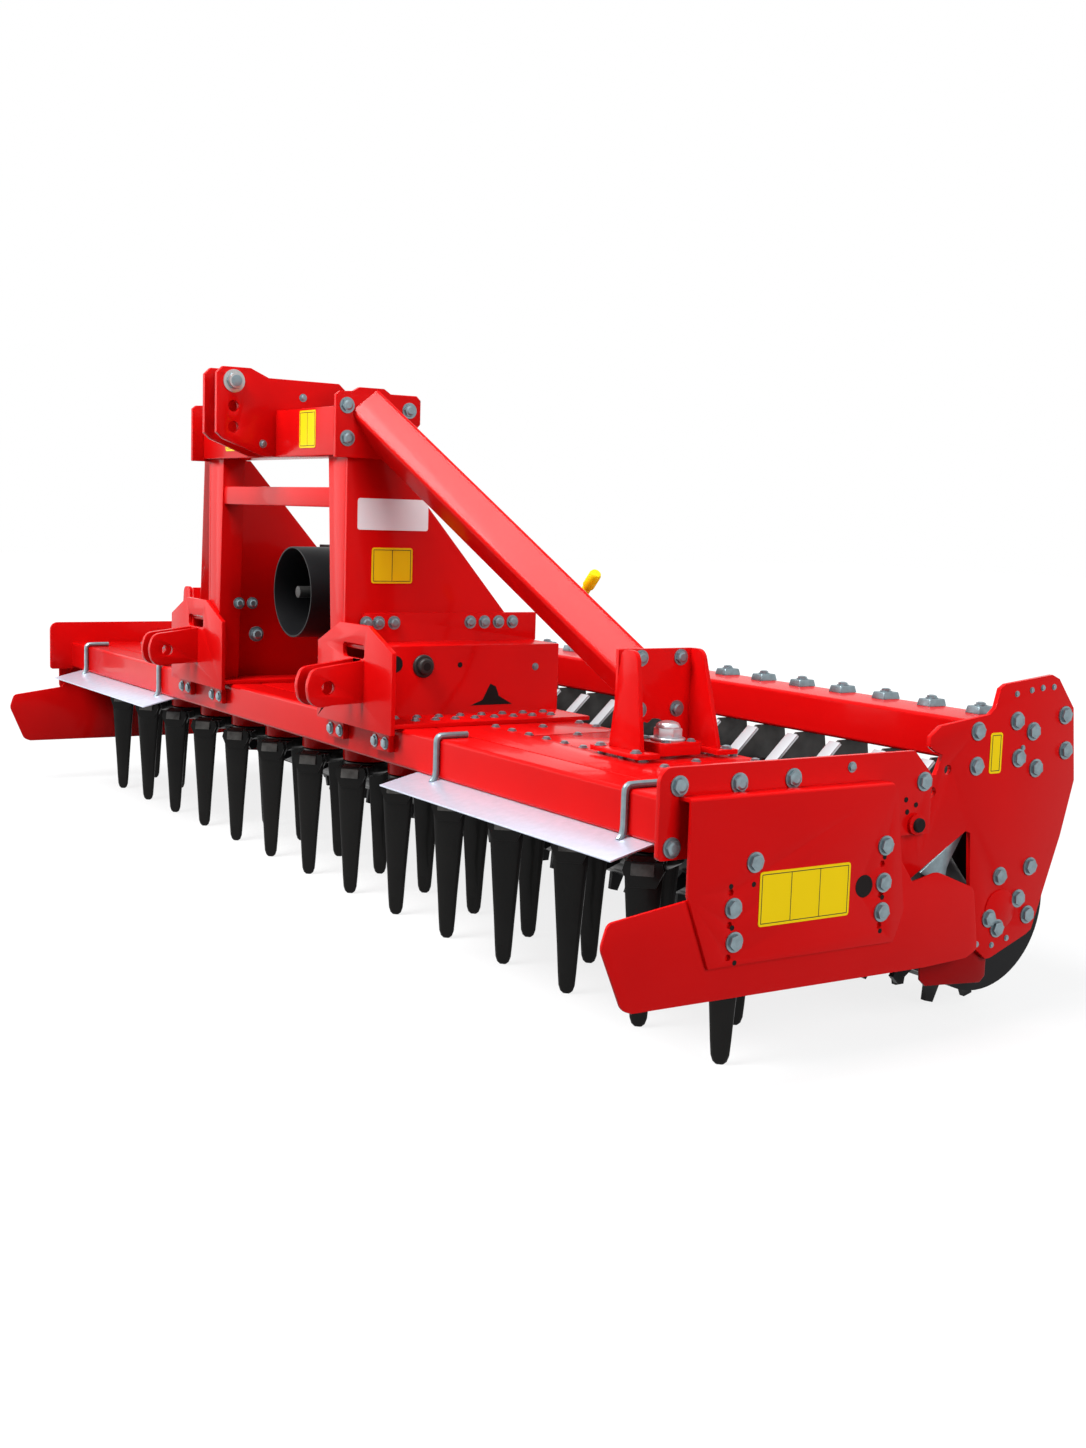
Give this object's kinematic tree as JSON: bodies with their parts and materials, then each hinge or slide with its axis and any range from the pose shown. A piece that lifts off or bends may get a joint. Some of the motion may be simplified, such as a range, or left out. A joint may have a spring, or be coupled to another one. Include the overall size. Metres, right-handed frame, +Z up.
{
  "type": "power harrow",
  "caption": "Tractor-mounted power harrow: beam and gear trough over a row of paired-tine rotors, braced headstock, side deflectors, scraper bar and toothed packer roller.",
  "frame": {"origin": "middle of the whole machine's outline at floor level, with the tines and the roller on the floor", "axes": "+X along the working width, -Y towards the tractor, +Y towards the roller, +Z up"},
  "size_m": [4.0798, 1.387, 1.494],
  "materials": {
    "red_paint": "gloss",
    "black_paint": "satin",
    "zinc": "zinc plated",
    "galvanised": "galvanised sheet",
    "dark_steel": "worn dark steel",
    "tine_steel": "forged, dark",
    "black_plastic": "moulded",
    "machined_steel": "machined"
  },
  "bodies": {
    "frame": {"arm_pivots": "black_paint", "beam_pads": "red_paint", "braces": "red_paint", "deflectors": "red_paint", "end_plates": "red_paint", "filler_boss": "red_paint", "filler_plug": "zinc", "front_beam": "red_paint", "gearbox": "black_paint", "guard_straps": "galvanised", "head_plates": "red_paint", "head_tube": "red_paint", "hitch_brackets": "red_paint", "input_guard": "black_plastic", "mast_plates": "red_paint", "mast_posts": "red_paint", "rotor_housings": "red_paint", "side_boxes": "red_paint", "side_brackets": "red_paint", "stone_guards": "galvanised", "tie_bar": "red_paint", "toplink_pin": "zinc", "toplink_plates": "red_paint", "towers": "red_paint", "trough": "red_paint", "trough_cover": "red_paint"},
    "roller_frame": {"roller_arms": "red_paint", "roller_bearings": "black_paint", "scraper_bar": "red_paint", "scrapers": "dark_steel", "scraper_clamps": "galvanised", "roller_shields": "red_paint"},
    "roller": {"packer_roller": "black_paint"},
    "input": {"input_shaft": "machined_steel"},
    "rotor_01": {"rotor_01": "tine_steel"},
    "rotor_02": {"rotor_02": "tine_steel"},
    "rotor_03": {"rotor_03": "tine_steel"},
    "rotor_04": {"rotor_04": "tine_steel"},
    "rotor_05": {"rotor_05": "tine_steel"},
    "rotor_06": {"rotor_06": "tine_steel"},
    "rotor_07": {"rotor_07": "tine_steel"},
    "rotor_08": {"rotor_08": "tine_steel"},
    "rotor_09": {"rotor_09": "tine_steel"},
    "rotor_10": {"rotor_10": "tine_steel"},
    "rotor_11": {"rotor_11": "tine_steel"},
    "rotor_12": {"rotor_12": "tine_steel"},
    "rotor_13": {"rotor_13": "tine_steel"},
    "rotor_14": {"rotor_14": "tine_steel"}
  },
  "joints": [
    {"name": "rotor_01_spin", "type": "hinge", "parent": "frame", "child": "rotor_01", "pos_m": [-1.85705, -0.2325, 0.36], "axis": [0, 0, 1], "continuous": true},
    {"name": "rotor_02_spin", "type": "hinge", "parent": "frame", "child": "rotor_02", "pos_m": [-1.57135, -0.2325, 0.36], "axis": [0, 0, 1], "continuous": true},
    {"name": "rotor_03_spin", "type": "hinge", "parent": "frame", "child": "rotor_03", "pos_m": [-1.28565, -0.2325, 0.36], "axis": [0, 0, 1], "continuous": true},
    {"name": "rotor_04_spin", "type": "hinge", "parent": "frame", "child": "rotor_04", "pos_m": [-0.99995, -0.2325, 0.36], "axis": [0, 0, 1], "continuous": true},
    {"name": "rotor_05_spin", "type": "hinge", "parent": "frame", "child": "rotor_05", "pos_m": [-0.71425, -0.2325, 0.36], "axis": [0, 0, 1], "continuous": true},
    {"name": "rotor_06_spin", "type": "hinge", "parent": "frame", "child": "rotor_06", "pos_m": [-0.42855, -0.2325, 0.36], "axis": [0, 0, 1], "continuous": true},
    {"name": "rotor_07_spin", "type": "hinge", "parent": "frame", "child": "rotor_07", "pos_m": [-0.14285, -0.2325, 0.36], "axis": [0, 0, 1], "continuous": true},
    {"name": "rotor_08_spin", "type": "hinge", "parent": "frame", "child": "rotor_08", "pos_m": [0.14285, -0.2325, 0.36], "axis": [0, 0, 1], "continuous": true},
    {"name": "rotor_09_spin", "type": "hinge", "parent": "frame", "child": "rotor_09", "pos_m": [0.42855, -0.2325, 0.36], "axis": [0, 0, 1], "continuous": true},
    {"name": "rotor_10_spin", "type": "hinge", "parent": "frame", "child": "rotor_10", "pos_m": [0.71425, -0.2325, 0.36], "axis": [0, 0, 1], "continuous": true},
    {"name": "rotor_11_spin", "type": "hinge", "parent": "frame", "child": "rotor_11", "pos_m": [0.99995, -0.2325, 0.36], "axis": [0, 0, 1], "continuous": true},
    {"name": "rotor_12_spin", "type": "hinge", "parent": "frame", "child": "rotor_12", "pos_m": [1.28565, -0.2325, 0.36], "axis": [0, 0, 1], "continuous": true},
    {"name": "rotor_13_spin", "type": "hinge", "parent": "frame", "child": "rotor_13", "pos_m": [1.57135, -0.2325, 0.36], "axis": [0, 0, 1], "continuous": true},
    {"name": "rotor_14_spin", "type": "hinge", "parent": "frame", "child": "rotor_14", "pos_m": [1.85705, -0.2325, 0.36], "axis": [0, 0, 1], "continuous": true},
    {"name": "input_spin", "type": "hinge", "parent": "frame", "child": "input", "pos_m": [0, -0.3495, 0.862], "axis": [0, 1, 0], "continuous": true},
    {"name": "roller_frame_lift", "type": "hinge", "parent": "frame", "child": "roller_frame", "pos_m": [0, 0.1435, 0.474], "axis": [1, 0, 0], "range_deg": [0, 15]},
    {"name": "roller_spin", "type": "hinge", "parent": "roller_frame", "child": "roller", "pos_m": [0, 0.4435, 0.25], "axis": [1, 0, 0], "continuous": true}
  ],
  "couplings": [
    {"joint": "rotor_02_spin", "follows": "rotor_01_spin", "ratio": -1},
    {"joint": "rotor_03_spin", "follows": "rotor_01_spin", "ratio": 1},
    {"joint": "rotor_04_spin", "follows": "rotor_01_spin", "ratio": -1},
    {"joint": "rotor_05_spin", "follows": "rotor_01_spin", "ratio": 1},
    {"joint": "rotor_06_spin", "follows": "rotor_01_spin", "ratio": -1},
    {"joint": "rotor_07_spin", "follows": "rotor_01_spin", "ratio": 1},
    {"joint": "rotor_08_spin", "follows": "rotor_01_spin", "ratio": -1},
    {"joint": "rotor_09_spin", "follows": "rotor_01_spin", "ratio": 1},
    {"joint": "rotor_10_spin", "follows": "rotor_01_spin", "ratio": -1},
    {"joint": "rotor_11_spin", "follows": "rotor_01_spin", "ratio": 1},
    {"joint": "rotor_12_spin", "follows": "rotor_01_spin", "ratio": -1},
    {"joint": "rotor_13_spin", "follows": "rotor_01_spin", "ratio": 1},
    {"joint": "rotor_14_spin", "follows": "rotor_01_spin", "ratio": -1},
    {"joint": "input_spin", "follows": "rotor_01_spin", "ratio": 3}
  ]
}
